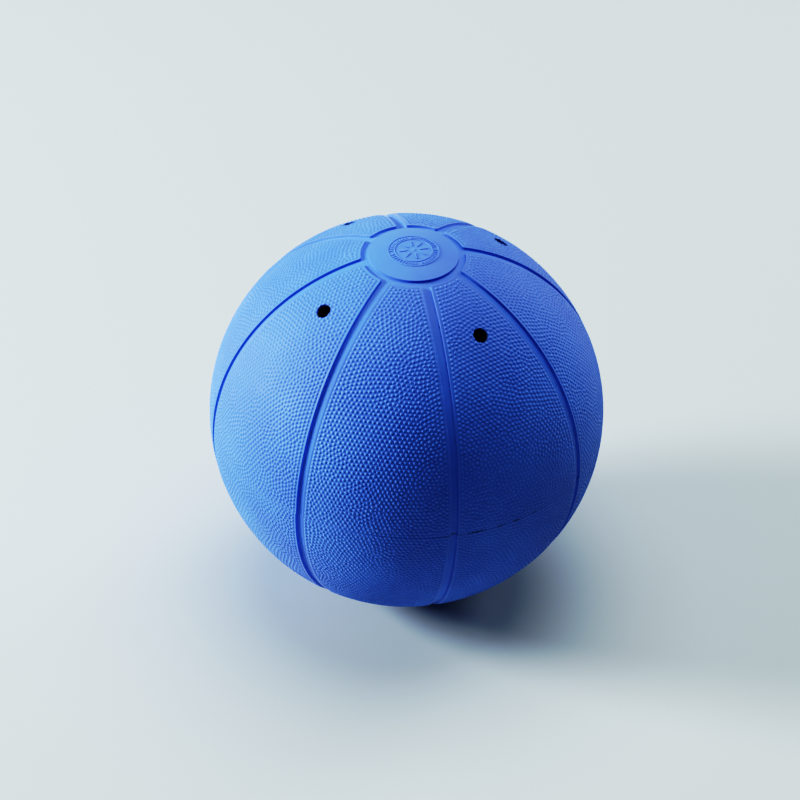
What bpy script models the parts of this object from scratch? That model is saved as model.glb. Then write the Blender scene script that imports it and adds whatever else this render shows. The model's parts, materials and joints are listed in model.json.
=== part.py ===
# Sound ball for blind sport: a thick rubber shell moulded in two halves, with four jingle bells loose inside.
# Metres, +Z up. The origin is the centre of the ball, and Z runs through the two polar medallions.
import bmesh
import bpy
from math import asin, cos, pi, radians, sin, sqrt
from mathutils import Matrix, Vector

# Driving dimensions of the ball.
BALL_RADIUS = 0.121         # 760 mm round the middle
WALL = 0.0058               # rubber thickness, from a mass of 1.25 kg with the bells
REST_FLAT_RADIUS = 0.006    # small flat in the middle of each medallion
MEDALLION_ANGLE = radians(13.0)     # from the pole to the medallion's edge
RING_ANGLE = radians(15.0)          # from the pole to the outer edge of the ring groove
RING_DEPTH = 0.0015
GROOVE_COUNT = 8
GROOVE_WIDTH = 0.0046
GROOVE_DEPTH = 0.0013
HOLE_RADIUS = 0.0046
UPPER_HOLE_ANGLES = (33.4, 33.0, 32.3, 34.0)    # from the pole, each hole as drilled, degrees
LOWER_HOLE_ANGLES = (33.0, 33.0, 33.0, 33.0)
LAP_HEIGHT = 0.004          # tongue of the lower half inside the upper half
LAP_WALL = 0.0028           # thickness of that tongue
GAP = 0.0003                # clearance between touching pieces

# Driving dimensions of a bell.
BELL_COUNT = 4
BELL_RADIUS = 0.015         # over the rolled bead
CUP_RADIUS = 0.0144
SHEET = 0.0007
BEAD_HALF_HEIGHT = 0.0009
SLOT_WIDTH = 0.003
SLOT_END_RADIUS = 0.003
SLOT_END_ANGLE = radians(52)        # from the bottom of the cup to the middle of a slot's round end
WIRE_RADIUS = 0.0007
LOOP_HALF_WIDTH = 0.003
LOOP_HEIGHT = 0.018         # from the bell's centre to the middle of the loop's bow
PELLET_RADIUS = 0.0035

# Fineness of the meshes.
SHELL_STEPS = 48
BELL_STEPS = 20
MERGE_DISTANCE = 0.00001

# Derived dimensions.
INNER_RADIUS = BALL_RADIUS - WALL
BELL_PATH_RADIUS = INNER_RADIUS - BELL_RADIUS - 0.001   # clears the facets of the inner wall
BELL_REST_ANGLE = asin((BELL_RADIUS + GAP / 2) * sqrt(2) / BELL_PATH_RADIUS)
PELLET_PATH_RADIUS = CUP_RADIUS - SHEET - PELLET_RADIUS - 0.0008   # clears the rim inside the bead


def clear_scene():
    for obj in list(bpy.data.objects):
        bpy.data.objects.remove(obj, do_unlink=True)


def new_collection(name):
    collection = bpy.data.collections.new(name)
    bpy.context.scene.collection.children.link(collection)
    return collection


def principled(name, colour, roughness, metallic):
    material = bpy.data.materials.new(name)
    material.use_nodes = True
    shader = material.node_tree.nodes["Principled BSDF"]
    shader.inputs["Base Color"].default_value = (*colour, 1)
    shader.inputs["Roughness"].default_value = roughness
    shader.inputs["Metallic"].default_value = metallic
    return material


def add_object(name, mesh, collection, material=None):
    obj = bpy.data.objects.new(name, mesh)
    collection.objects.link(obj)
    if material and not mesh.materials:
        mesh.materials.append(material)
    return obj


def mesh_from(name, bm):
    mesh = bpy.data.meshes.new(name)
    bm.to_mesh(mesh)
    bm.free()
    return mesh


def shade_round(mesh, sharp_degrees=35):
    mesh.shade_smooth()
    mesh.set_sharp_from_angle(angle=radians(sharp_degrees))


def arc(radius, start, end, segments):
    # Points (distance from Z, height) on an arc about the origin; the angles run down from +Z.
    angles = [start + (end - start) * i / segments for i in range(segments + 1)]
    return [(radius * sin(a), radius * cos(a)) for a in angles]


def flipped(profile):
    # The same profile upside down, run the other way so that its outer side still runs down.
    return [(x, -z) for x, z in reversed(profile)]


def turned_object(name, profile, steps, collection, material):
    # A profile beside +X, turned once round Z.
    bm = bmesh.new()
    corners = [bm.verts.new((x, 0, z)) for x, z in profile]
    for start, end in zip(corners, corners[1:]):
        bm.edges.new((start, end))
    obj = add_object(name, mesh_from(name, bm), collection, material)
    screw = obj.modifiers.new("turn", "SCREW")
    screw.axis = "Z"
    screw.angle = 2 * pi
    screw.steps = steps
    screw.render_steps = steps
    screw.use_merge_vertices = True
    screw.merge_threshold = MERGE_DISTANCE
    return obj


def cut(obj, cutter):
    boolean = obj.modifiers.new("cut_" + cutter.name, "BOOLEAN")
    boolean.operation = "DIFFERENCE"
    boolean.object = cutter
    boolean.solver = "EXACT"


def hide_cutter(obj):
    obj.hide_render = True
    obj.display_type = "WIRE"
    return obj


def settled_mesh(obj, name):
    # The object's mesh with its modifiers applied, so that copies can share it. The object goes.
    bpy.context.view_layer.update()
    graph = bpy.context.evaluated_depsgraph_get()
    mesh = bpy.data.meshes.new_from_object(obj.evaluated_get(graph))
    mesh.name = name
    bpy.data.objects.remove(obj, do_unlink=True)
    return mesh


# The rubber shell

def outer_face_profile():
    # Pole to equator: flat, medallion, ring groove, panel.
    flat_angle = asin(REST_FLAT_RADIUS / BALL_RADIUS)
    floor_radius = BALL_RADIUS - RING_DEPTH
    profile = [(0, BALL_RADIUS * cos(flat_angle))]
    profile += arc(BALL_RADIUS, flat_angle, MEDALLION_ANGLE, 3)
    profile += arc(floor_radius, MEDALLION_ANGLE, RING_ANGLE, 1)
    profile += arc(BALL_RADIUS, RING_ANGLE, radians(90), 10)[:-1]
    profile.append((BALL_RADIUS, GAP / 2))
    return profile


def upper_half_profile():
    rebate_radius = INNER_RADIUS + LAP_WALL + GAP
    rebate_top = LAP_HEIGHT + GAP
    inner_start = asin(rebate_top / INNER_RADIUS)
    profile = outer_face_profile()
    profile += [(rebate_radius, GAP / 2), (rebate_radius, rebate_top)]
    profile += arc(INNER_RADIUS, radians(90) - inner_start, 0, 8)[:-1]
    profile.append((0, INNER_RADIUS))
    return profile


def lower_half_profile():
    tongue_radius = INNER_RADIUS + LAP_WALL
    inner_start = asin(LAP_HEIGHT / INNER_RADIUS)
    inner_side = arc(INNER_RADIUS, radians(180), radians(90) - inner_start, 8)
    tongue = [(tongue_radius, LAP_HEIGHT), (tongue_radius, -GAP / 2)]
    return [(0, -INNER_RADIUS)] + inner_side[1:] + tongue + flipped(outer_face_profile())


def groove_cutters(collection):
    # Each groove is a curved bar along a meridian, from one ring groove to the other.
    start = (MEDALLION_ANGLE + RING_ANGLE) / 2
    sweep = pi - 2 * start
    floor_radius = BALL_RADIUS - GROOVE_DEPTH
    height = GROOVE_DEPTH + 0.004
    bm = bmesh.new()
    ends = [bm.verts.new((floor_radius * sin(start), side * GROOVE_WIDTH / 2, floor_radius * cos(start)))
            for side in (-1, 1)]
    edge = bm.edges.new(ends)
    bmesh.ops.spin(bm, geom=ends + [edge], cent=(0, 0, 0), axis=(0, 1, 0), angle=sweep, steps=24)
    bmesh.ops.solidify(bm, geom=bm.faces[:], thickness=-height)
    bmesh.ops.recalc_face_normals(bm, faces=bm.faces[:])
    bar = bm.verts[:] + bm.edges[:] + bm.faces[:]
    for i in range(1, GROOVE_COUNT):
        copy = bmesh.ops.duplicate(bm, geom=bar)["geom"]
        turn = Matrix.Rotation(2 * pi * i / GROOVE_COUNT, 3, "Z")
        points = [item for item in copy if isinstance(item, bmesh.types.BMVert)]
        bmesh.ops.rotate(bm, cent=(0, 0, 0), matrix=turn, verts=points)
    return hide_cutter(add_object("groove_cutters", mesh_from("groove_cutters", bm), collection))


def hole_cutters(collection):
    # Sound holes stand radially in the middle of every other panel, in both halves.
    bm = bmesh.new()
    for side, angles in ((0, UPPER_HOLE_ANGLES), (pi, LOWER_HOLE_ANGLES)):
        for i, angle in enumerate(angles):
            azimuth = pi / GROOVE_COUNT + 2 * pi * i / len(angles)
            place = (Matrix.Rotation(azimuth, 4, "Z") @ Matrix.Rotation(abs(side - radians(angle)), 4, "Y")
                     @ Matrix.Translation((0, 0, BALL_RADIUS - WALL / 2)))
            bmesh.ops.create_cone(bm, cap_ends=True, segments=16, radius1=HOLE_RADIUS,
                                  radius2=HOLE_RADIUS, depth=3 * WALL, matrix=place)
    return hide_cutter(add_object("hole_cutters", mesh_from("hole_cutters", bm), collection))


def build_shell(parts, cutters, rubber):
    grooves = groove_cutters(cutters)
    holes = hole_cutters(cutters)
    for name, profile in (("upper_half", upper_half_profile()), ("lower_half", lower_half_profile())):
        half = turned_object(name, profile, SHELL_STEPS, parts, rubber)
        cut(half, grooves)
        cut(half, holes)


# One bell, modelled about its own centre with the loop at +Z

def top_cup_mesh(cutters, steel):
    # The bead wraps the rim of the slotted cup.
    bead_start = asin(BEAD_HALF_HEIGHT / CUP_RADIUS)
    shoulder = 0.0004
    inner_radius = CUP_RADIUS - SHEET
    inner_start = asin(shoulder / inner_radius)
    profile = arc(CUP_RADIUS, 0, pi / 2 - bead_start, 6)
    profile[0] = (0, CUP_RADIUS)
    profile += [(BELL_RADIUS, BEAD_HALF_HEIGHT / 2), (BELL_RADIUS, -BEAD_HALF_HEIGHT / 2)]
    profile += [(CUP_RADIUS, -BEAD_HALF_HEIGHT), (CUP_RADIUS, shoulder)]
    profile += arc(inner_radius, pi / 2 - inner_start, 0, 5)[:-1]
    profile.append((0, inner_radius))
    cup = turned_object("top_cup", profile, BELL_STEPS, cutters, steel)
    bm = bmesh.new()
    for side in (-1, 1):
        bmesh.ops.create_cone(bm, cap_ends=True, segments=10, radius1=WIRE_RADIUS + GAP,
                              radius2=WIRE_RADIUS + GAP, depth=0.006,
                              matrix=Matrix.Translation((side * LOOP_HALF_WIDTH, 0, CUP_RADIUS)))
    drill = hide_cutter(add_object("loop_drills", mesh_from("loop_drills", bm), cutters))
    cut(cup, drill)
    mesh = settled_mesh(cup, "top_cup")
    shade_round(mesh)
    return mesh


def slotted_cup_mesh(cutters, steel):
    rim_radius = CUP_RADIUS - GAP
    rim_top = 0.0001
    rim_foot = -BEAD_HALF_HEIGHT - GAP
    inner_radius = CUP_RADIUS - SHEET
    wall_start = asin(-rim_foot / CUP_RADIUS)
    inner = arc(inner_radius, pi, pi / 2 + wall_start, 5)
    outer = arc(CUP_RADIUS, pi / 2 + wall_start, pi, 6)
    profile = [(0, -inner_radius)] + inner[1:]
    profile += [(rim_radius - SHEET, rim_foot / 2), (rim_radius - SHEET, rim_top)]
    profile += [(rim_radius, rim_top), (rim_radius, rim_foot + GAP / 2)]
    profile += outer[:-1] + [(0, -CUP_RADIUS)]
    cup = turned_object("slotted_cup", profile, BELL_STEPS, cutters, steel)

    slot_length = 2 * CUP_RADIUS * sin(SLOT_END_ANGLE)
    for name, size in (("slot_along", (slot_length, SLOT_WIDTH)), ("slot_across", (SLOT_WIDTH, slot_length))):
        bm = bmesh.new()
        place = Matrix.Translation((0, 0, -CUP_RADIUS))
        bmesh.ops.create_cube(bm, size=1, matrix=place @ Matrix.Diagonal((*size, CUP_RADIUS, 1)))
        cut(cup, hide_cutter(add_object(name, mesh_from(name, bm), cutters)))

    bm = bmesh.new()
    for i in range(4):
        place = (Matrix.Rotation(i * pi / 2, 4, "Z") @ Matrix.Rotation(pi - SLOT_END_ANGLE, 4, "Y")
                 @ Matrix.Translation((0, 0, CUP_RADIUS)))
        bmesh.ops.create_cone(bm, cap_ends=True, segments=12, radius1=SLOT_END_RADIUS,
                              radius2=SLOT_END_RADIUS, depth=6 * SHEET, matrix=place)
    cut(cup, hide_cutter(add_object("slot_ends", mesh_from("slot_ends", bm), cutters)))
    mesh = settled_mesh(cup, "slotted_cup")
    shade_round(mesh)
    return mesh


def loop_mesh(collection, steel):
    # A wire bow through two holes, with its feet spread under the cup.
    foot_path = CUP_RADIUS - SHEET - WIRE_RADIUS - GAP
    foot = [(x, sqrt((foot_path - 0.00005) ** 2 - x ** 2)) for x in (0.006, 0.0049, 0.0038)]
    leg = [(LOOP_HALF_WIDTH + 0.0002, 0.0124), (LOOP_HALF_WIDTH, 0.0129)]
    bow = [(LOOP_HALF_WIDTH * cos(a), LOOP_HEIGHT + LOOP_HALF_WIDTH * sin(a))
           for a in (pi * i / 8 for i in range(9))]
    right = foot + leg
    left = [(-x, z) for x, z in reversed(right)]
    route = right + bow + left
    curve = bpy.data.curves.new("loop", "CURVE")
    curve.dimensions = "3D"
    curve.bevel_depth = WIRE_RADIUS
    curve.bevel_resolution = 2
    curve.use_fill_caps = True
    spline = curve.splines.new("POLY")
    spline.points.add(len(route) - 1)
    for point, (x, z) in zip(spline.points, route):
        point.co = (x, 0, z, 1)
    wire = bpy.data.objects.new("loop", curve)
    collection.objects.link(wire)
    mesh = settled_mesh(wire, "loop")
    bm = bmesh.new()
    bm.from_mesh(mesh)
    bmesh.ops.remove_doubles(bm, verts=bm.verts[:], dist=MERGE_DISTANCE)
    bm.to_mesh(mesh)
    bm.free()
    mesh.materials.clear()
    mesh.materials.append(steel)
    shade_round(mesh)
    return mesh


def pellet_mesh(steel):
    bm = bmesh.new()
    bmesh.ops.create_uvsphere(bm, u_segments=12, v_segments=8, radius=PELLET_RADIUS)
    mesh = mesh_from("pellet", bm)
    mesh.materials.append(steel)
    mesh.shade_smooth()
    return mesh


def build_bells(parts, cutters, sheet_steel, wire_steel, pellet_steel):
    shapes = (("top_cup", top_cup_mesh(cutters, sheet_steel)),
              ("slotted_cup", slotted_cup_mesh(cutters, sheet_steel)),
              ("loop", loop_mesh(parts, wire_steel)))
    pellet_shape = pellet_mesh(pellet_steel)
    for i in range(BELL_COUNT):
        bell = "bell_" + str(i + 1)
        azimuth = pi / BELL_COUNT + 2 * pi * i / BELL_COUNT
        # The bell swings about the ball's centre, so its empty stands there, tilted out from the bottom.
        pivot = bpy.data.objects.new(bell + "_pivot", None)
        parts.objects.link(pivot)
        pivot.rotation_euler = (0, -BELL_REST_ANGLE, azimuth)
        for piece, mesh in shapes:
            obj = add_object(bell + "_" + piece, mesh, parts)
            obj.parent = pivot
            obj.location = (0, 0, -BELL_PATH_RADIUS)
        # The pellet swings about the bell's centre, so that is its empty's place.
        centre = bpy.data.objects.new(bell + "_centre", None)
        parts.objects.link(centre)
        centre.parent = pivot
        centre.location = (0, 0, -BELL_PATH_RADIUS)
        centre.rotation_euler = (0, BELL_REST_ANGLE, 0)
        pellet = add_object(bell + "_pellet", pellet_shape, parts)
        pellet.parent = centre
        pellet.location = Vector((0, 0, -PELLET_PATH_RADIUS))


def main():
    clear_scene()
    parts = new_collection("sound_ball")
    cutters = new_collection("cutters")
    rubber = principled("blue_rubber", (0.07, 0.22, 0.72), 0.5, 0)
    sheet_steel = principled("nickelled_steel", (0.72, 0.70, 0.66), 0.25, 1)
    wire_steel = principled("steel_wire", (0.60, 0.60, 0.60), 0.35, 1)
    pellet_steel = principled("pellet_steel", (0.45, 0.45, 0.46), 0.4, 1)
    build_shell(parts, cutters, rubber)
    build_bells(parts, cutters, sheet_steel, wire_steel, pellet_steel)


main()
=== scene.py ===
import json
from math import asin, cos, pi, radians, sin, sqrt

import bmesh
import bpy
import numpy as np
from mathutils import Matrix, Vector, geometry


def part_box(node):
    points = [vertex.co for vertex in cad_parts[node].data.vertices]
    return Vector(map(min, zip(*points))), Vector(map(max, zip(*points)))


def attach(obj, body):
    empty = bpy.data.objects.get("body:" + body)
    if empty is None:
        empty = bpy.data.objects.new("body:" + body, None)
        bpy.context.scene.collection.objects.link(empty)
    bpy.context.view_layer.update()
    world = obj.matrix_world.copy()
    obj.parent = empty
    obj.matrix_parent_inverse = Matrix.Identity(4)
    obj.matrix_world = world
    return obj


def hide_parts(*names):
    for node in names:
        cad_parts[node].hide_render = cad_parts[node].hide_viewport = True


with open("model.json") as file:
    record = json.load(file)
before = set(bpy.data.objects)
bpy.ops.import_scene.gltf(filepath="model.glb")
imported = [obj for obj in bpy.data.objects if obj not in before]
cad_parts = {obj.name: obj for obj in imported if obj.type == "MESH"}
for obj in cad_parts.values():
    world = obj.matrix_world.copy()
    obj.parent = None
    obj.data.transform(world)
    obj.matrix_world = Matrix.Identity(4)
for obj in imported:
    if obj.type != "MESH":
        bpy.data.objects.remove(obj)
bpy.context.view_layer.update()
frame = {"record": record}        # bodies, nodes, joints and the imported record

# A sound ball for blind sport: two moulded rubber halves with pebbled panels, grooves, medallions
# and sound holes, and four jingle bells loose inside. Metres, +Z up, origin at the ball's centre.

ballRadius = round(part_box("upper_half")[1][0], 4)      # over the pebble tops
scene = bpy.context.scene


# Helpers

def ease(start, end, value):     # 0 before start, 1 after end, a soft S between
    t = np.clip((value - start) / (end - start), 0, 1)
    return t * t * (3 - 2 * t)


def meshPoints(mesh):
    flat = np.empty(len(mesh.vertices) * 3)
    mesh.vertices.foreach_get("co", flat)
    return flat.reshape(-1, 3)


def movePoints(mesh, points):
    mesh.vertices.foreach_set("co", points.reshape(-1))
    mesh.update()


def finishedMesh(bm, name, sharpAngle=None):
    mesh = bpy.data.meshes.new(name)
    bm.to_mesh(mesh)
    bm.free()
    mesh.shade_smooth()
    if sharpAngle:
        mesh.set_sharp_from_angle(angle=radians(sharpAngle))
    return mesh


def tidyNormals(bm, distance=0.000002):
    bmesh.ops.remove_doubles(bm, verts=bm.verts[:], dist=distance)
    bmesh.ops.recalc_face_normals(bm, faces=bm.faces[:])


def cutMesh(mesh, cutter, name):     # the mesh with a closed cutter taken out of it
    body = bpy.data.objects.new(name, mesh)
    tool = bpy.data.objects.new(name + "Tool", cutter)
    scene.collection.objects.link(body)
    scene.collection.objects.link(tool)
    boolean = body.modifiers.new("cut", "BOOLEAN")
    boolean.operation = "DIFFERENCE"
    boolean.solver = "EXACT"
    boolean.object = tool
    graph = bpy.context.evaluated_depsgraph_get()
    result = bpy.data.meshes.new_from_object(body.evaluated_get(graph))
    result.name = name
    bpy.data.objects.remove(body)
    bpy.data.objects.remove(tool)
    return result


def spunBody(bm, profile, steps):    # points (distance from Z, height) turned once round Z
    corners = [bm.verts.new((x, 0, z)) for x, z in profile]
    edges = [bm.edges.new(pair) for pair in zip(corners, corners[1:])]
    bmesh.ops.spin(bm, geom=corners + edges, cent=(0, 0, 0), axis=(0, 0, 1), angle=2 * pi,
                   steps=steps, use_merge=True)


def arc(radius, start, end, segments):       # angles run down from +Z
    angles = [start + (end - start) * i / segments for i in range(segments + 1)]
    return [(radius * sin(a), radius * cos(a)) for a in angles]


def addPiece(name, mesh, material, body, stands=()):
    piece = bpy.data.objects.new(name, mesh)
    scene.collection.objects.link(piece)
    mesh.materials.clear()
    mesh.materials.append(material)
    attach(piece, body)
    if stands:
        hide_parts(*stands)
    return piece


# Shader maths: a Wire is a socket, and an expression on Wires adds Math nodes

class Wire:
    def __init__(self, tree, socket=None):
        self.tree = tree
        self.socket = socket

    def node(self, kind, settings=(), inputs=(), output=0):
        made = self.tree.nodes.new(kind)
        for key, value in dict(settings).items():
            setattr(made, key, value)
        for key, value in dict(inputs).items():
            if isinstance(value, Wire):
                self.tree.links.new(value.socket, made.inputs[key])
            else:
                made.inputs[key].default_value = value
        return Wire(self.tree, made.outputs[output] if made.outputs else None)

    def maths(self, operation, first, second=0.0):
        return self.node("ShaderNodeMath", {"operation": operation}, {0: first, 1: second})

    def __add__(self, other):
        return self.maths("ADD", self, other)

    def __radd__(self, other):
        return self.maths("ADD", other, self)

    def __sub__(self, other):
        return self.maths("SUBTRACT", self, other)

    def __rsub__(self, other):
        return self.maths("SUBTRACT", other, self)

    def __mul__(self, other):
        return self.maths("MULTIPLY", self, other)

    def __rmul__(self, other):
        return self.maths("MULTIPLY", other, self)

    def between(self, low, high):        # 0 below low, 1 above high
        return self.node("ShaderNodeMapRange", {"interpolation_type": "SMOOTHSTEP"},
                         {"Value": self, "From Min": low, "From Max": high})

    def blend(self, first, second):      # this value mixes two colours
        return self.node("ShaderNodeMix", {"data_type": "RGBA"}, {0: self, 6: first, 7: second}, 2)


def newMaterial(name):
    material = bpy.data.materials.new(name)
    material.use_nodes = True
    tree = material.node_tree
    tree.nodes.clear()
    start = Wire(tree)
    place = start.node("ShaderNodeTexCoord", output="Object")
    return material, start, place


def noise(place, scale, detail=3.0, roughness=0.55):
    return place.node("ShaderNodeTexNoise", {}, {"Vector": place, "Scale": scale, "Detail": detail,
                                                 "Roughness": roughness})


def closeMaterial(start, constants, driven, bumps=()):
    # bumps: (height, distance, strength) from coarse to fine
    normal = None
    for height, distance, strength in bumps:
        inputs = {"Height": height, "Distance": distance, "Strength": strength}
        if normal:
            inputs["Normal"] = normal
        normal = start.node("ShaderNodeBump", {}, inputs)
    inputs = dict(constants)
    inputs.update(driven)
    if normal:
        inputs["Normal"] = normal
    shader = start.node("ShaderNodeBsdfPrincipled", {}, inputs)
    start.node("ShaderNodeOutputMaterial", {}, {"Surface": shader})


# Materials

rubberLook = {
    "deep": (0.057, 0.158, 0.600, 1),
    "fresh": (0.083, 0.218, 0.725, 1),
    # lighter rubber: real grinding wear at the seam, and partly a painted highlight on the pebble tops
    "wearAndHighlight": (0.150, 0.300, 0.760, 1),
    # painted shade: the darker colour laid in the low places between the pebbles
    "valleyShade": (0.016, 0.070, 0.400, 1),
    "grime": (0.006, 0.009, 0.020, 1),
    # painted shade: near-black for the walls of the sound holes and the inside of the ball
    "holeShade": (0.006, 0.006, 0.007, 1),
    "shadeDepth": 0.0021,                  # blue down to this depth; deeper, the rubber is painted near-black as shade in the sound holes
    "shadeFade": 0.0002,
    "crown": 0.0006,                 # the tops of the pebbles reach this far down
    "between": (0.00062, 0.0003),    # the low places between pebbles, below the outer radius
    "bands": (0.0012, 0.0008),       # below these depths is a groove's wall, which gets no painted valley shade
    "smear": (0.022, -0.1185, 0),    # the seam is dirtiest around here
    "smearReach": (0.008, 0.05),
    "dirtReach": (0.0002, 0.0013),   # from the seam
    "buffedReach": (0.0004, 0.0022),
    "scales": {"cloud": 9, "patch": 60, "dirt": 45, "streak": 130, "grain": 900, "speck": 2600},
    "roughness": 0.61,
}


def blueRubber():
    look = rubberLook
    scales = look["scales"]
    material, start, place = newMaterial("blueRubber")
    radius = place.node("ShaderNodeVectorMath", {"operation": "LENGTH"}, {0: place}, 1)
    crown = radius.between(ballRadius - look["crown"], ballRadius)
    # painted shade: below the blue depth the rubber turns near-black, darkening the sound holes
    holeShade = ballRadius - look["shadeDepth"]
    inside = 1 - radius.between(holeShade - look["shadeFade"], holeShade)
    cloud, patch = noise(place, scales["cloud"], 4, 0.6), noise(place, scales["patch"], 3)
    grain, speck = noise(place, scales["grain"], 2), noise(place, scales["speck"], 2, 0.7)
    height = place.node("ShaderNodeSeparateXYZ", {}, {"Vector": place}, 2)
    fromSeam = height.maths("ABSOLUTE", height)
    smear = place.node("ShaderNodeVectorMath", {"operation": "DISTANCE"}, {0: place, 1: look["smear"]}, 1)
    streak = noise(place, scales["streak"], 3).between(0.42, 0.62) * (1 - smear.between(*look["smearReach"]))
    spots = noise(place, scales["dirt"], 3).between(0.6, 0.72) * 0.3
    low = 1 - radius.between(*(ballRadius - depth for depth in look["between"]))
    dirt = (1 - fromSeam.between(*look["dirtReach"])) * (streak + spots) * low
    buffed = (1 - fromSeam.between(*look["buffedReach"])) * patch.between(0.3, 0.6) * crown
    # mask of the painted shade between the pebbles, stopping short of the groove walls
    valleyShade = low * radius.between(*(ballRadius - depth for depth in look["bands"]))
    colour = cloud.between(0.35, 0.68).blend(look["deep"], look["fresh"])
    # pebble tops lighter in patches: partly wear, partly a painted highlight where light catches the tops
    colour = (crown * patch.between(0.38, 0.72) * 0.3).blend(colour, look["wearAndHighlight"])
    colour = (buffed * 0.5).blend(colour, look["wearAndHighlight"])
    # painted shade: the low places between the pebbles are darkened
    colour = (valleyShade * 0.22).blend(colour, look["valleyShade"])
    colour = (dirt * 0.75).blend(colour, look["grime"])
    # painted shade in the sound holes and on the inside
    colour = inside.blend(colour, look["holeShade"])
    roughness = look["roughness"] + (patch - 0.5) * 0.2
    closeMaterial(start, {"Specular IOR Level": 0.5, "Sheen Weight": 0.2, "Sheen Roughness": 0.5},
                  {"Base Color": colour, "Roughness": roughness},
                  ((grain, 0.00011, 0.7), (speck, 0.00004, 0.5)))
    return material


steelLook = {
    "cup": {"name": "nickelledSteel", "bright": (0.70, 0.67, 0.60, 1), "dull": (0.50, 0.47, 0.42, 1),
            "rough": 0.22, "scratch": 420},
    "wire": {"name": "drawnWire", "bright": (0.62, 0.62, 0.60, 1), "dull": (0.42, 0.42, 0.42, 1),
             "rough": 0.32, "scratch": 800},
    "pellet": {"name": "pelletSteel", "bright": (0.50, 0.50, 0.50, 1), "dull": (0.26, 0.25, 0.25, 1),
               "rough": 0.36, "scratch": 600},
}


def steel(look):
    material, start, place = newMaterial(look["name"])
    stain = noise(place, 160, 4, 0.62)
    scratch = noise(place, look["scratch"], 2, 0.8)
    colour = stain.between(0.4, 0.66).blend(look["bright"], look["dull"])
    roughness = look["rough"] + stain.between(0.42, 0.7) * 0.2 + (scratch - 0.5) * 0.12
    closeMaterial(start, {"Metallic": 1.0}, {"Base Color": colour, "Roughness": roughness},
                  ((scratch, 0.00002, 0.5),))
    return material


# The halves were joined a little out of line, as turns about Z

misfit = {True: Matrix.Rotation(radians(0.14), 4, "Z"), False: Matrix.Rotation(radians(-0.07), 4, "Z")}


# Outside of a moulded half: land, grooves, ring and medallion

relief = {
    "grooves": 8,
    "landDrop": 0.00042,            # smooth bands lie below the pebble tops
    "halfWidth": (0.0021, 0.0026),  # of a groove, at the seam and at the ring
    "depth": 0.0016,
    "lip": (-0.00028, 0.00024),     # the groove's wall starts and ends here, across its edge
    "land": (0.0003, 0.0009),       # width of the smooth band, at the seam and at the ring
    "slope": 0.0012,                # the band falls to the foot of the pebbles over this width
    "pocket": 0.00075,              # the pebbled pads stand in pockets
    "pocketEdge": (0.0004, 0.0008), # past the slope
    "underPad": 0.00003,            # the slope's foot lies this far under a pad
    "medallion": radians(13),
    "ring": radians(15),
    "corner": 0.0015,
    "seamBand": (0.0003, 0.0006),   # the pockets stop here
    "seamVee": (0.0003, 0.0001),    # reach and depth
    "lipSteps": 8,
    "slopeSteps": (0.0005, 0.0026, 15),
}
halfPanel = pi / relief["grooves"]
pebbleShoulder, pebbleRise = 0.00039, 0.00055      # height of a pebble's shoulder and of its top


def tapered(sizes, latitude):      # a width that grows from the seam to the ring
    atSeam, atRing = sizes
    return atSeam + (atRing - atSeam) * np.minimum(latitude / (pi / 2 - relief["ring"]), 1)


def grooveHalf(latitude):
    return tapered(relief["halfWidth"], latitude)


def panelDepth(latitude, fromGroove):    # signed distance into a panel, its corners rounded
    across = fromGroove - grooveHalf(latitude)
    down = ballRadius * (pi / 2 - latitude - relief["ring"])
    corner = relief["corner"]
    rounded = corner - np.hypot(corner - across, corner - down)
    return np.where((across < corner) & (down < corner), rounded, np.minimum(across, down))


def outsideRadius(latitude, fromGroove):
    inPanel = panelDepth(latitude, fromGroove)
    inMedallion = ballRadius * (relief["medallion"] - (pi / 2 - latitude))
    raised = np.maximum(ease(*relief["lip"], inPanel), ease(*relief["lip"], inMedallion))
    land = tapered(relief["land"], latitude)
    slope = land + relief["slope"]
    pads = ease(slope + relief["pocketEdge"][0], slope + relief["pocketEdge"][1], inPanel)
    toSeam = ballRadius * latitude
    clear = ease(*relief["seamBand"], toSeam)
    foot = pebbleRise - relief["landDrop"] + relief["underPad"]
    drop = foot * ease(land, slope, inPanel) + (relief["pocket"] - foot) * pads * clear
    drop += relief["seamVee"][1] * pads * (1 - ease(0, relief["seamVee"][0], toSeam))
    return ballRadius - relief["landDrop"] - relief["depth"] * (1 - raised) - drop


def stations(*runs):       # (start, end, count) runs joined into one row of numbers
    return np.concatenate([np.linspace(start, end, count) for start, end, count in runs])


def outsideRows():         # latitudes from the pole to the seam
    r = ballRadius
    low, high = relief["lip"]
    steps = relief["lipSteps"]
    medallion = relief["medallion"] - stations((high, low, steps)) / r
    ring = relief["ring"] + stations((low, high, steps), relief["slopeSteps"]) / r
    seam = stations((0.001, 0.0006, 5), (0.0003, 0, 4)) / r
    polar = np.concatenate([np.linspace(0, medallion[0] - 0.0008 / r, 8), medallion,
                            [(relief["medallion"] + relief["ring"]) / 2], ring,
                            np.linspace(ring[-1] + 0.002 / r, pi / 2 - 0.002 / r, 36), pi / 2 - seam])
    return pi / 2 - polar


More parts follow.
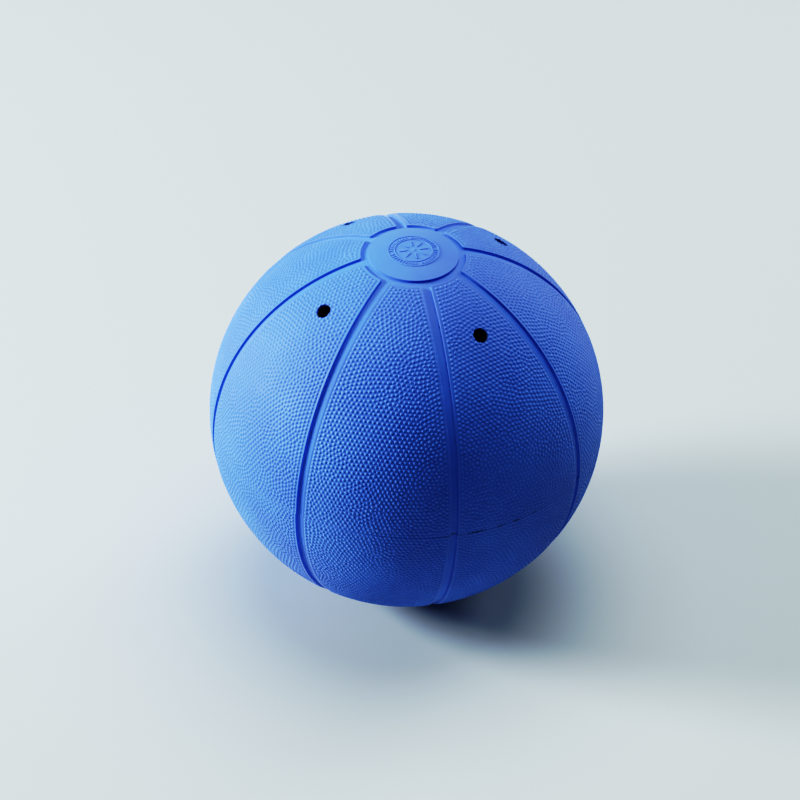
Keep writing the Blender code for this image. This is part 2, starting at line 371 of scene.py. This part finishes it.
def outsideSkin(bm):       # an eighth of the half is laid out both ways from a groove's middle
    low, high = relief["lip"]
    rows = outsideRows()
    spread = np.minimum(rows, pi / 2 - relief["medallion"])      # inside the medallion the columns fan in
    half = grooveHalf(spread)
    across = [half * share for share in (0, 0.4, 0.7)]
    across += [half + step for step in stations((low, high, relief["lipSteps"]), relief["slopeSteps"])]
    turns = [np.arcsin(np.sin(offset / ballRadius) / np.cos(spread)) for offset in across]
    turns += [turns[-1] + (halfPanel - turns[-1]) * i / 5 for i in range(1, 6)]
    turns = np.array(turns)                                      # [column, row]
    columns = len(turns) - 1
    total = columns * 2 * relief["grooves"]
    bmesh.ops.create_grid(bm, x_segments=total, y_segments=len(rows) - 1, size=1)
    mesh = bpy.data.meshes.new("layout")
    bm.to_mesh(mesh)
    flat = meshPoints(mesh)
    column = np.rint((flat[:, 0] + 1) / 2 * total).astype(int)
    row = np.rint((1 - flat[:, 1]) / 2 * (len(rows) - 1)).astype(int)
    half = column // columns
    step = np.where(half % 2 == 0, column % columns, columns - column % columns)
    turn = turns[step, row]
    azimuth = (half + half % 2) * halfPanel + np.where(half % 2 == 0, turn, -turn)
    latitude = rows[row]
    fromGroove = ballRadius * np.arcsin(np.cos(latitude) * np.sin(np.minimum(turn, pi / 2)))
    radius = outsideRadius(latitude, fromGroove)
    level = np.cos(latitude) * radius
    movePoints(mesh, np.stack([level * np.cos(azimuth), level * np.sin(azimuth),
                               np.sin(latitude) * radius], 1))
    bm.clear()
    bm.from_mesh(mesh)
    bpy.data.meshes.remove(mesh)
    return total


wall = {
    "thickness": 0.0058,
    "tongueHeight": 0.004,
    "tongueWall": 0.0028,
    "gap": 0.0003,
    "holeRadius": 0.0046,
    "holeSteps": 48,
    "drillLength": (0.02, 0.01),                 # through the wall, and through a pad
    "upperHoles": (33.4, 33.0, 32.3, 34.0),      # from the pole, degrees, each as drilled
    "lowerHoles": (33.0, 33.0, 33.0, 33.0),
}


def insideProfile(isUpper):        # from the seam's inner step to the pole, as distance from Z and height
    inner = ballRadius - wall["thickness"]
    step = inner + wall["tongueWall"] + (wall["gap"] if isUpper else 0)
    top = wall["tongueHeight"] + (wall["gap"] if isUpper else 0)
    if isUpper:
        return [(step, 0), (step, top)] + arc(inner, pi / 2 - asin(top / inner), 0, 14)
    return [(step, 0), (step, -top)] + arc(inner, pi / 2 + asin(top / inner), 0, 16)


def holeTools(isUpper):
    bm = bmesh.new()
    for i, angle in enumerate(wall["upperHoles" if isUpper else "lowerHoles"]):
        polar = radians(angle) if isUpper else pi - radians(angle)
        place = (Matrix.Rotation(halfPanel + i * pi / 2, 4, "Z") @ Matrix.Rotation(polar, 4, "Y")
                 @ Matrix.Translation((0, 0, ballRadius - wall["thickness"] / 2)))
        bmesh.ops.create_cone(bm, cap_ends=True, segments=wall["holeSteps"], radius1=wall["holeRadius"],
                              radius2=wall["holeRadius"], depth=wall["drillLength"][0], matrix=place)
    return finishedMesh(bm, "holeTools")


def buildCore(isUpper):
    bm = bmesh.new()
    steps = outsideSkin(bm)
    spunBody(bm, insideProfile(isUpper), steps)
    bmesh.ops.remove_doubles(bm, verts=bm.verts[:], dist=0.000002)
    rims = [edge for edge in bm.edges if edge.is_boundary]
    bmesh.ops.bridge_loops(bm, edges=rims)
    tidyNormals(bm)
    if not isUpper:
        bmesh.ops.rotate(bm, verts=bm.verts[:], cent=(0, 0, 0), matrix=Matrix.Rotation(pi, 3, "X"))
    name = "upper_core" if isUpper else "lower_core"
    mesh = cutMesh(finishedMesh(bm, name), holeTools(isUpper), name)
    mesh.transform(misfit[isUpper])
    mesh.shade_smooth()
    mesh.set_sharp_from_angle(angle=radians(50))
    return mesh


# Pebbled pads: a flat lattice of pebbles, wrapped on the ball

pebbles = {
    "pitch": 0.00275,
    "capRadius": 0.00099,
    "shoulder": 0.00034,         # from the foot of a pebble in to its shoulder
    "sizes": (0.86, 1.12),
    "fromEdge": (0.0024, 0.0031),    # first pebbles, from the groove's edge, at the seam and at the ring
    "fromSeam": 0.00115,
    "padEdge": -0.0013,          # the pad runs this far past its first pebbles
    "padSeam": 0.0003,
    "padDepth": 0.00022,
    "columns": 22,               # of the starting lattice, either side of the middle
    "shake": 0.3,                # of the pitch, before they pack
    "reach": 0.61,
    "push": 0.42,
    "rounds": 60,
    "growth": (0.95, 1.03),
    "squash": (0.94, 1.06),
    "roughening": 0.000014,
    "outline": (105, 12, 62),    # points up a side, across the top and along the seam
    "seeds": (2, 3),
}


def toPlane(latitude, longitude):      # the panel's middle meridian lies along Y
    x = np.arctanh(np.cos(latitude) * np.sin(longitude))
    y = np.arctan2(np.tan(latitude), np.cos(longitude))
    return np.stack([x, y], -1) * ballRadius


def fromPlane(points):
    x, y = points[..., 0] / ballRadius, points[..., 1] / ballRadius
    return np.arcsin(np.sin(y) / np.cosh(x)), np.arctan2(np.sinh(x), np.cos(y))


def sideLimit(latitude, extra=0.0):    # how far round the panel the pebbles run, either side of its middle
    inset = grooveHalf(latitude) + tapered(pebbles["fromEdge"], latitude) + extra
    return halfPanel - np.arcsin(np.sin(inset / ballRadius) / np.cos(latitude))


def topLimit(extra=0.0):
    return pi / 2 - relief["ring"] - (pebbles["fromEdge"][1] + extra) / ballRadius


def clampToPanel(points):
    latitude, longitude = fromPlane(points)
    latitude = np.clip(latitude, pebbles["fromSeam"] / ballRadius, topLimit())
    limit = sideLimit(latitude)
    return toPlane(latitude, np.clip(longitude, -limit, limit))


def pebbleCentres(shaker):
    pitch = pebbles["pitch"]
    rows = int(ballRadius * pi / 2 / (pitch * sqrt(0.75)))
    span = range(-pebbles["columns"], pebbles["columns"] + 1)
    grid = [((i + (j % 2) / 2) * pitch, j * pitch * sqrt(0.75)) for j in range(rows) for i in span]
    shake = pitch * pebbles["shake"]
    points = np.array(grid) + shaker.normal(0, shake, (len(grid), 2))
    inside = np.abs(clampToPanel(points) - points).max(axis=1) < shake
    points = clampToPanel(points[inside])
    sizes = shaker.uniform(*pebbles["sizes"], len(points))
    reach = pitch * pebbles["reach"] * (sizes[:, None] + sizes[None])
    for i in range(pebbles["rounds"]):         # neighbours push each other apart until they pack
        apart = points[:, None] - points[None]
        distance = np.hypot(apart[..., 0], apart[..., 1]) + 1e-9
        push = np.clip(1 - distance / reach, 0, 1) / distance
        np.fill_diagonal(push, 0)
        points = clampToPanel(points + (apart * push[..., None]).sum(axis=1) * pitch * pebbles["push"])
    return points, sizes


def padOutline():
    edge, low = pebbles["padEdge"], pebbles["padSeam"] / ballRadius
    high = topLimit(edge)
    up, over, along = pebbles["outline"]
    rise = np.linspace(low, high, up)
    right = toPlane(rise, sideLimit(rise, edge))
    left = toPlane(rise[::-1], -sideLimit(rise[::-1], edge))
    across = np.linspace(1, -1, over)[1:-1]
    top = toPlane(np.full(len(across), high), across * sideLimit(high, edge))
    across = np.linspace(-1, 1, along)[1:-1]
    foot = toPlane(np.full(len(across), low), across * sideLimit(low, edge))
    return np.concatenate([right, top, left, foot])


def layLattice(bm, outline, centres):      # triangles between the pebble centres, facing up
    flat = [Vector(p) for p in np.concatenate([outline, centres])]
    points, edges, faces = geometry.delaunay_2d_cdt(flat, [], [list(range(len(outline)))], 1, 1e-9)[:3]
    corners = [bm.verts.new((x, y, 0)) for x, y in points]
    for face in faces:
        bm.faces.new([corners[i] for i in face])
    bmesh.ops.recalc_face_normals(bm, faces=bm.faces[:])
    if sum(face.normal.z for face in bm.faces) < 0:
        bmesh.ops.reverse_faces(bm, faces=bm.faces[:])
    return corners[len(outline):]


def buildPad(seed):
    shaker = np.random.default_rng(seed)
    centres, sizes = pebbleCentres(shaker)
    bm = bmesh.new()
    tops = layLattice(bm, padOutline(), centres)
    upFaces = bm.faces[:]
    under = bmesh.ops.duplicate(bm, geom=bm.verts[:] + bm.faces[:])["geom"]
    bmesh.ops.reverse_faces(bm, faces=[item for item in under if isinstance(item, bmesh.types.BMFace)])
    bmesh.ops.translate(bm, verts=[item for item in under if isinstance(item, bmesh.types.BMVert)],
                        vec=(0, 0, -pebbles["padDepth"]))
    bmesh.ops.poke(bm, faces=upFaces)
    caps = bmesh.ops.bevel(bm, geom=tops, offset=pebbles["capRadius"], segments=1, profile=0.5,
                           affect="VERTICES", material=-1)["faces"]
    for cap in caps:                           # each pebble has its own size and is a little out of round
        middle = cap.calc_center_median()
        nearest = np.hypot(centres[:, 0] - middle.x, centres[:, 1] - middle.y).argmin()
        grow = sizes[nearest] * shaker.uniform(*pebbles["growth"])
        squash = shaker.uniform(*pebbles["squash"])
        bmesh.ops.scale(bm, vec=(grow * squash, grow / squash, 1), space=Matrix.Translation(-middle),
                        verts=cap.verts[:])
    bmesh.ops.inset_individual(bm, faces=caps, thickness=pebbles["shoulder"], depth=pebbleShoulder,
                               use_even_offset=True)
    bmesh.ops.poke(bm, faces=caps, offset=pebbleRise - pebbleShoulder)
    bmesh.ops.bridge_loops(bm, edges=[edge for edge in bm.edges if edge.is_boundary])
    mesh = finishedMesh(bm, "pad")
    wrapPad(mesh, shaker)
    return mesh


def wrapPad(mesh, shaker):
    shape = meshPoints(mesh)
    raised = shape[:, 2] > 0
    x, y = shape[:, 0], shape[:, 1]
    tall = 0.95 + 0.09 * np.sin(x * 900 + 2 * np.sin(y * 500)) * np.sin(y * 1100)
    buffed = 1 - 0.35 * (1 - ease(0.001, 0.004, y)) * (0.5 + 0.5 * np.sin(x * 210))
    shape[raised] += shaker.normal(0, pebbles["roughening"], (int(raised.sum()), 3))
    latitude, longitude = fromPlane(shape)
    radius = ballRadius - pebbleRise + np.where(raised, shape[:, 2] * tall * buffed, shape[:, 2])
    level = radius * np.cos(latitude)
    movePoints(mesh, np.stack([level * np.cos(longitude), level * np.sin(longitude),
                               radius * np.sin(latitude)], 1))


def padDrill(angle):
    drill = bmesh.new()
    place = Matrix.Rotation(radians(angle), 4, "Y") @ Matrix.Translation((0, 0, ballRadius))
    bmesh.ops.create_cone(drill, cap_ends=True, segments=wall["holeSteps"], radius1=wall["holeRadius"],
                          radius2=wall["holeRadius"], depth=wall["drillLength"][1], matrix=place)
    return finishedMesh(drill, "drill")


def buildPads(rubber):
    plain = [buildPad(seed) for seed in pebbles["seeds"]]
    for half, turned, angles in (("upper", False, wall["upperHoles"]), ("lower", True, wall["lowerHoles"])):
        for i in range(relief["grooves"]):
            mesh = plain[(i + i // 4) % 2].copy()
            azimuth = halfPanel * (1 + 2 * i)
            turn = misfit[not turned] @ Matrix.Rotation(azimuth, 4, "Z")
            if turned:
                turn = turn @ Matrix.Rotation(pi, 4, "X")
            if i % 2 == 0:
                mesh = cutMesh(mesh, padDrill(angles[i // 2]), "drilledPad")
            mesh.transform(turn)
            mesh.shade_smooth()
            mesh.set_sharp_from_angle(angle=radians(70))
            name = half + "_pad_" + str(i + 1)
            mesh.name = name
            addPiece(name, mesh, rubber, "shell")
        print(half, "pads placed")


# Medallion emblem: two raised circles, a ring of ticks between them and a plain sunburst

emblem = {
    "circles": (0.0151, 0.0112),
    "lineWidth": 0.0006,
    "rise": 0.00036,
    "ticks": 44,
    "rays": 8,
}


def buildEmblem(isUpper):
    base = ballRadius - relief["landDrop"]
    bm = bmesh.new()
    for circle in emblem["circles"]:
        angle = circle / base
        half = emblem["lineWidth"] / 2 / base
        profile = [(base - 0.0002, angle - half * 1.3), (base + emblem["rise"] * 0.75, angle - half * 0.8),
                   (base + emblem["rise"], angle), (base + emblem["rise"] * 0.75, angle + half * 0.8),
                   (base - 0.0002, angle + half * 1.3), (base - 0.0002, angle - half * 1.3)]
        spunBody(bm, [(r * sin(a), r * cos(a)) for r, a in profile], 128)
    middle = sum(emblem["circles"]) / 2 / base
    bars = [(2 * pi * i / emblem["ticks"], middle, 0.0019) for i in range(emblem["ticks"]) if i % 11]
    bars += [(2 * pi * i / emblem["rays"], 0.0062 / base, 0.0052) for i in range(emblem["rays"])]
    for azimuth, polar, length in bars:
        place = (Matrix.Rotation(azimuth, 4, "Z") @ Matrix.Rotation(polar, 4, "Y")
                 @ Matrix.Translation((0, 0, base + emblem["rise"] / 2 - 0.0001)))
        size = Matrix.Diagonal((length, emblem["lineWidth"], emblem["rise"] + 0.0002, 1))
        bar = bmesh.ops.create_cube(bm, size=1, matrix=place @ size)["verts"]
        edges = list({edge for vert in bar for edge in vert.link_edges})
        bmesh.ops.bevel(bm, geom=edges, offset=0.00012, segments=2, profile=0.5, affect="EDGES", material=-1)
    hub = Matrix.Translation((0, 0, base)) @ Matrix.Diagonal((1, 1, 0.2, 1))
    bmesh.ops.create_uvsphere(bm, u_segments=24, v_segments=12, radius=0.0014, matrix=hub)
    tidyNormals(bm)
    if not isUpper:
        bmesh.ops.rotate(bm, verts=bm.verts[:], cent=(0, 0, 0), matrix=Matrix.Rotation(pi, 3, "X"))
    return finishedMesh(bm, "emblem", 40)


# Bells, modelled about their own centre with the loop at +Z

bell = {
    "beadRadius": 0.015,
    "cupRadius": 0.0144,
    "sheet": 0.0007,
    "beadHalf": 0.0009,
    "slotWidth": 0.003,
    "slotEndRadius": 0.003,
    "slotEndAngle": radians(52),
    "wireRadius": 0.0007,
    "loopHalfWidth": 0.003,
    "loopHeight": 0.018,
    "clinch": (0.006, 0.0054, 0.0048, 0.0042, 0.0037),      # the loop's bent foot, from its end
    "pelletRadius": 0.0035,
    "gap": 0.0003,
    "steps": 64,
}


def topCup():
    cup, inner = bell["cupRadius"], bell["cupRadius"] - bell["sheet"]
    bead = bell["beadHalf"]
    profile = arc(cup, 0, pi / 2 - asin(bead / cup), 16)
    profile += [(cup + (bell["beadRadius"] - cup) * cos(a), bead * sin(a)) for a in
                (pi / 2 * (1 - i / 4) for i in range(9))]
    profile += [(cup, 0.0004)] + arc(inner, pi / 2 - asin(0.0004 / inner), 0, 12)
    bm = bmesh.new()
    spunBody(bm, profile, bell["steps"])
    tidyNormals(bm)
    drill = bmesh.new()
    for side in (-1, 1):
        bmesh.ops.create_cone(drill, cap_ends=True, segments=24, radius1=bell["wireRadius"] + bell["gap"],
                              radius2=bell["wireRadius"] + bell["gap"], depth=0.006,
                              matrix=Matrix.Translation((side * bell["loopHalfWidth"], 0, cup)))
    return cutMesh(finishedMesh(bm, "topCup"), finishedMesh(drill, "drill"), "topCup")


def slottedCup():
    cup, sheet, gap = bell["cupRadius"], bell["sheet"], bell["gap"]
    inner, foot = cup - sheet, -bell["beadHalf"] - gap
    start = asin(-foot / cup)
    profile = arc(inner, pi, pi / 2 + start, 12)
    profile += [(cup - gap - sheet, foot / 2), (cup - gap - sheet, 0.0001), (cup - gap, 0.0001),
                (cup - gap, foot + gap / 2)]
    profile += arc(cup, pi / 2 + start, pi, 16)
    bm = bmesh.new()
    spunBody(bm, profile, bell["steps"])
    tidyNormals(bm)
    mesh = finishedMesh(bm, "slottedCup")
    length = 2 * cup * sin(bell["slotEndAngle"])
    for size in ((length, bell["slotWidth"]), (bell["slotWidth"], length)):
        saw = bmesh.new()
        bmesh.ops.create_cube(saw, size=1, matrix=Matrix.Translation((0, 0, -cup))
                              @ Matrix.Diagonal((*size, cup, 1)))
        mesh = cutMesh(mesh, finishedMesh(saw, "saw"), "slottedCup")
    drill = bmesh.new()
    for i in range(4):
        place = (Matrix.Rotation(i * pi / 2, 4, "Z") @ Matrix.Rotation(pi - bell["slotEndAngle"], 4, "Y")
                 @ Matrix.Translation((0, 0, cup)))
        bmesh.ops.create_cone(drill, cap_ends=True, segments=32, radius1=bell["slotEndRadius"],
                              radius2=bell["slotEndRadius"], depth=6 * sheet, matrix=place)
    return cutMesh(mesh, finishedMesh(drill, "drill"), "slottedCup")


def wireLoop():
    half, top = bell["loopHalfWidth"], bell["loopHeight"]
    path = bell["cupRadius"] - bell["sheet"] - bell["wireRadius"] - bell["gap"] - 0.00005
    foot = [(x, sqrt(path ** 2 - x ** 2)) for x in bell["clinch"]]
    right = foot + [(half + 0.0002, 0.0124), (half, 0.0129), (half, 0.0150)]
    bow = [(half * cos(pi * i / 20), top + half * sin(pi * i / 20)) for i in range(21)]
    route = right + bow + [(-x, z) for x, z in reversed(right)]
    curve = bpy.data.curves.new("loop", "CURVE")
    curve.dimensions = "3D"
    curve.bevel_depth = bell["wireRadius"]
    curve.bevel_resolution = 4
    curve.use_fill_caps = True
    spline = curve.splines.new("POLY")
    spline.points.add(len(route) - 1)
    for point, (x, z) in zip(spline.points, route):
        point.co = (x, 0, z, 1)
    wire = bpy.data.objects.new("loop", curve)
    scene.collection.objects.link(wire)
    graph = bpy.context.evaluated_depsgraph_get()
    mesh = bpy.data.meshes.new_from_object(wire.evaluated_get(graph))
    bpy.data.objects.remove(wire)
    return mesh


def pelletBall():
    bm = bmesh.new()
    bmesh.ops.create_icosphere(bm, subdivisions=4, radius=bell["pelletRadius"])
    return finishedMesh(bm, "pellet")


def bellPlaces():       # number, centre of the bell and the axis that it rolls about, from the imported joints
    places = []
    for joint in frame["record"]["behaviour"]["joints"]:
        if joint["name"].startswith("pellet_"):
            places.append((joint["name"].split("_")[1], Vector(joint["pos_m"]), Vector(joint["axis"])))
    return places


def buildBells():
    cupSteel, wireSteel, pelletSteel = (steel(steelLook[key]) for key in ("cup", "wire", "pellet"))
    shapes = (("top_cup", topCup(), cupSteel, "bell_sheet"),
              ("slotted_cup", slottedCup(), cupSteel, "bell_sheet"),
              ("loop", wireLoop(), wireSteel, "bell_wire"))
    pellet = pelletBall()
    for number, centre, axis in bellPlaces():
        up = -centre.normalized()
        side = -axis.normalized()
        turn = Matrix((side.cross(up), side, up)).transposed().to_4x4()
        place = Matrix.Translation(centre) @ turn
        for piece, shape, material, slotName in shapes:
            mesh = shape.copy()
            mesh.transform(place)
            mesh.shade_smooth()
            mesh.set_sharp_from_angle(angle=radians(40))
            node = "bell_" + number + "_" + piece
            addPiece(node + "_fine", mesh, material, "bell_" + number, (node,))
        node = "bell_" + number + "_pellet"
        low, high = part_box(node)
        mesh = pellet.copy()
        mesh.transform(Matrix.Translation((Vector(low) + Vector(high)) / 2))
        addPiece(node + "_fine", mesh, pelletSteel, "pellet_" + number, (node,))
    print("bells hung")


# Stage: floor, lights and camera

studio = {
    "floor": (0.475, 0.56, 0.575, 1),
    "floorReach": 4,
    "sky": (0.60, 0.66, 0.70, 1),        # seen past the floor's edge
    "glow": (0.55, 0.68, 1.0, 1),        # faint light from all round
    "glowStrength": 0.02,
    "contrast": ((0.02, 0.006), (0.04, 0.021), (0.07, 0.068), (0.118, 0.165), (0.215, 0.43),
                 (0.36, 0.66), (0.55, 0.80), (0.75, 0.88), (1, 0.97)),       # light received, light shown
    "lights": (      # name, azimuth, elevation, distance, size, watts, colour
        ("key", 166, 19, 2.2, 0.7, 48, (1.0, 1.0, 1.0)),
        ("top", 65, 76, 2.3, 2.4, 28, (1.0, 1.0, 1.0)),
        ("rim", 32, 22, 2.2, 0.9, 9, (1.0, 1.0, 1.0)),
    ),
    "camera": {"azimuth": -104.91, "elevation": 38.38, "distance": 15.33, "roll": 2.57, "lens": 135.7,
               "shift": (-0.0081, 0.01225)},
}


def direction(azimuth, elevation):
    turn, lift = radians(azimuth), radians(elevation)
    return Vector((cos(lift) * cos(turn), cos(lift) * sin(turn), sin(lift)))


def buildStage():
    bm = bmesh.new()
    level = -ballRadius + relief["landDrop"] - emblem["rise"]      # the ball rests on its lower emblem
    bmesh.ops.create_grid(bm, x_segments=8, y_segments=8, size=studio["floorReach"],
                          matrix=Matrix.Translation((0, 0, level)))
    floor = bpy.data.objects.new("floor", finishedMesh(bm, "floor"))
    scene.collection.objects.link(floor)
    material, start, place = newMaterial("paleFloor")
    closeMaterial(start, {"Base Color": studio["floor"], "Specular IOR Level": 0.3},
                  {"Roughness": 0.55 + noise(place, 3) * 0.1})
    floor.data.materials.append(material)
    world = bpy.data.worlds.new("studio")
    scene.world = world
    world.use_nodes = True
    world.node_tree.nodes.clear()
    air = Wire(world.node_tree)
    sky = air.node("ShaderNodeBackground", {}, {"Color": studio["sky"]})
    glow = air.node("ShaderNodeBackground", {}, {"Color": studio["glow"], "Strength": studio["glowStrength"]})
    seen = air.node("ShaderNodeLightPath", output="Is Camera Ray")
    mixed = air.node("ShaderNodeMixShader", {}, {0: seen, 1: glow, 2: sky})
    air.node("ShaderNodeOutputWorld", {}, {"Surface": mixed})
    for name, azimuth, elevation, distance, size, watts, colour in studio["lights"]:
        light = bpy.data.lights.new(name, "AREA")
        light.shape = "DISK"
        light.size = size
        light.energy = watts
        light.color = colour
        lamp = bpy.data.objects.new(name, light)
        lamp.location = direction(azimuth, elevation) * distance
        lamp.rotation_euler = direction(azimuth, elevation).to_track_quat("Z", "Y").to_euler()
        scene.collection.objects.link(lamp)


def buildCamera():
    view = studio["camera"]
    lens = bpy.data.cameras.new("camera")
    lens.lens = view["lens"]
    lens.shift_x, lens.shift_y = view["shift"]
    camera = bpy.data.objects.new("camera", lens)
    out = direction(view["azimuth"], view["elevation"])
    camera.location = out * view["distance"] * ballRadius
    aim = out.to_track_quat("Z", "Y") @ Matrix.Rotation(radians(view["roll"]), 3, "Z").to_quaternion()
    camera.rotation_euler = aim.to_euler()
    scene.collection.objects.link(camera)
    scene.camera = camera


def setTone():
    scene.view_settings.view_transform = "Standard"
    scene.view_settings.use_curve_mapping = True
    mapping = scene.view_settings.curve_mapping
    curve = mapping.curves[3]
    curve.points[1].location = studio["contrast"][-1]
    for point in studio["contrast"][:-1]:
        curve.points.new(*point)
    mapping.update()


buildStage()
buildCamera()
setTone()
print("stage set")

rubber = blueRubber()
for isUpper, node in ((True, "upper_half"), (False, "lower_half")):
    half = node.split("_")[0]
    addPiece(half + "_core", buildCore(isUpper), rubber, "shell", (node,))
    addPiece(half + "_emblem", buildEmblem(isUpper), rubber, "shell")
    print(half, "half moulded")

buildPads(rubber)
buildBells()

print("pieces done")
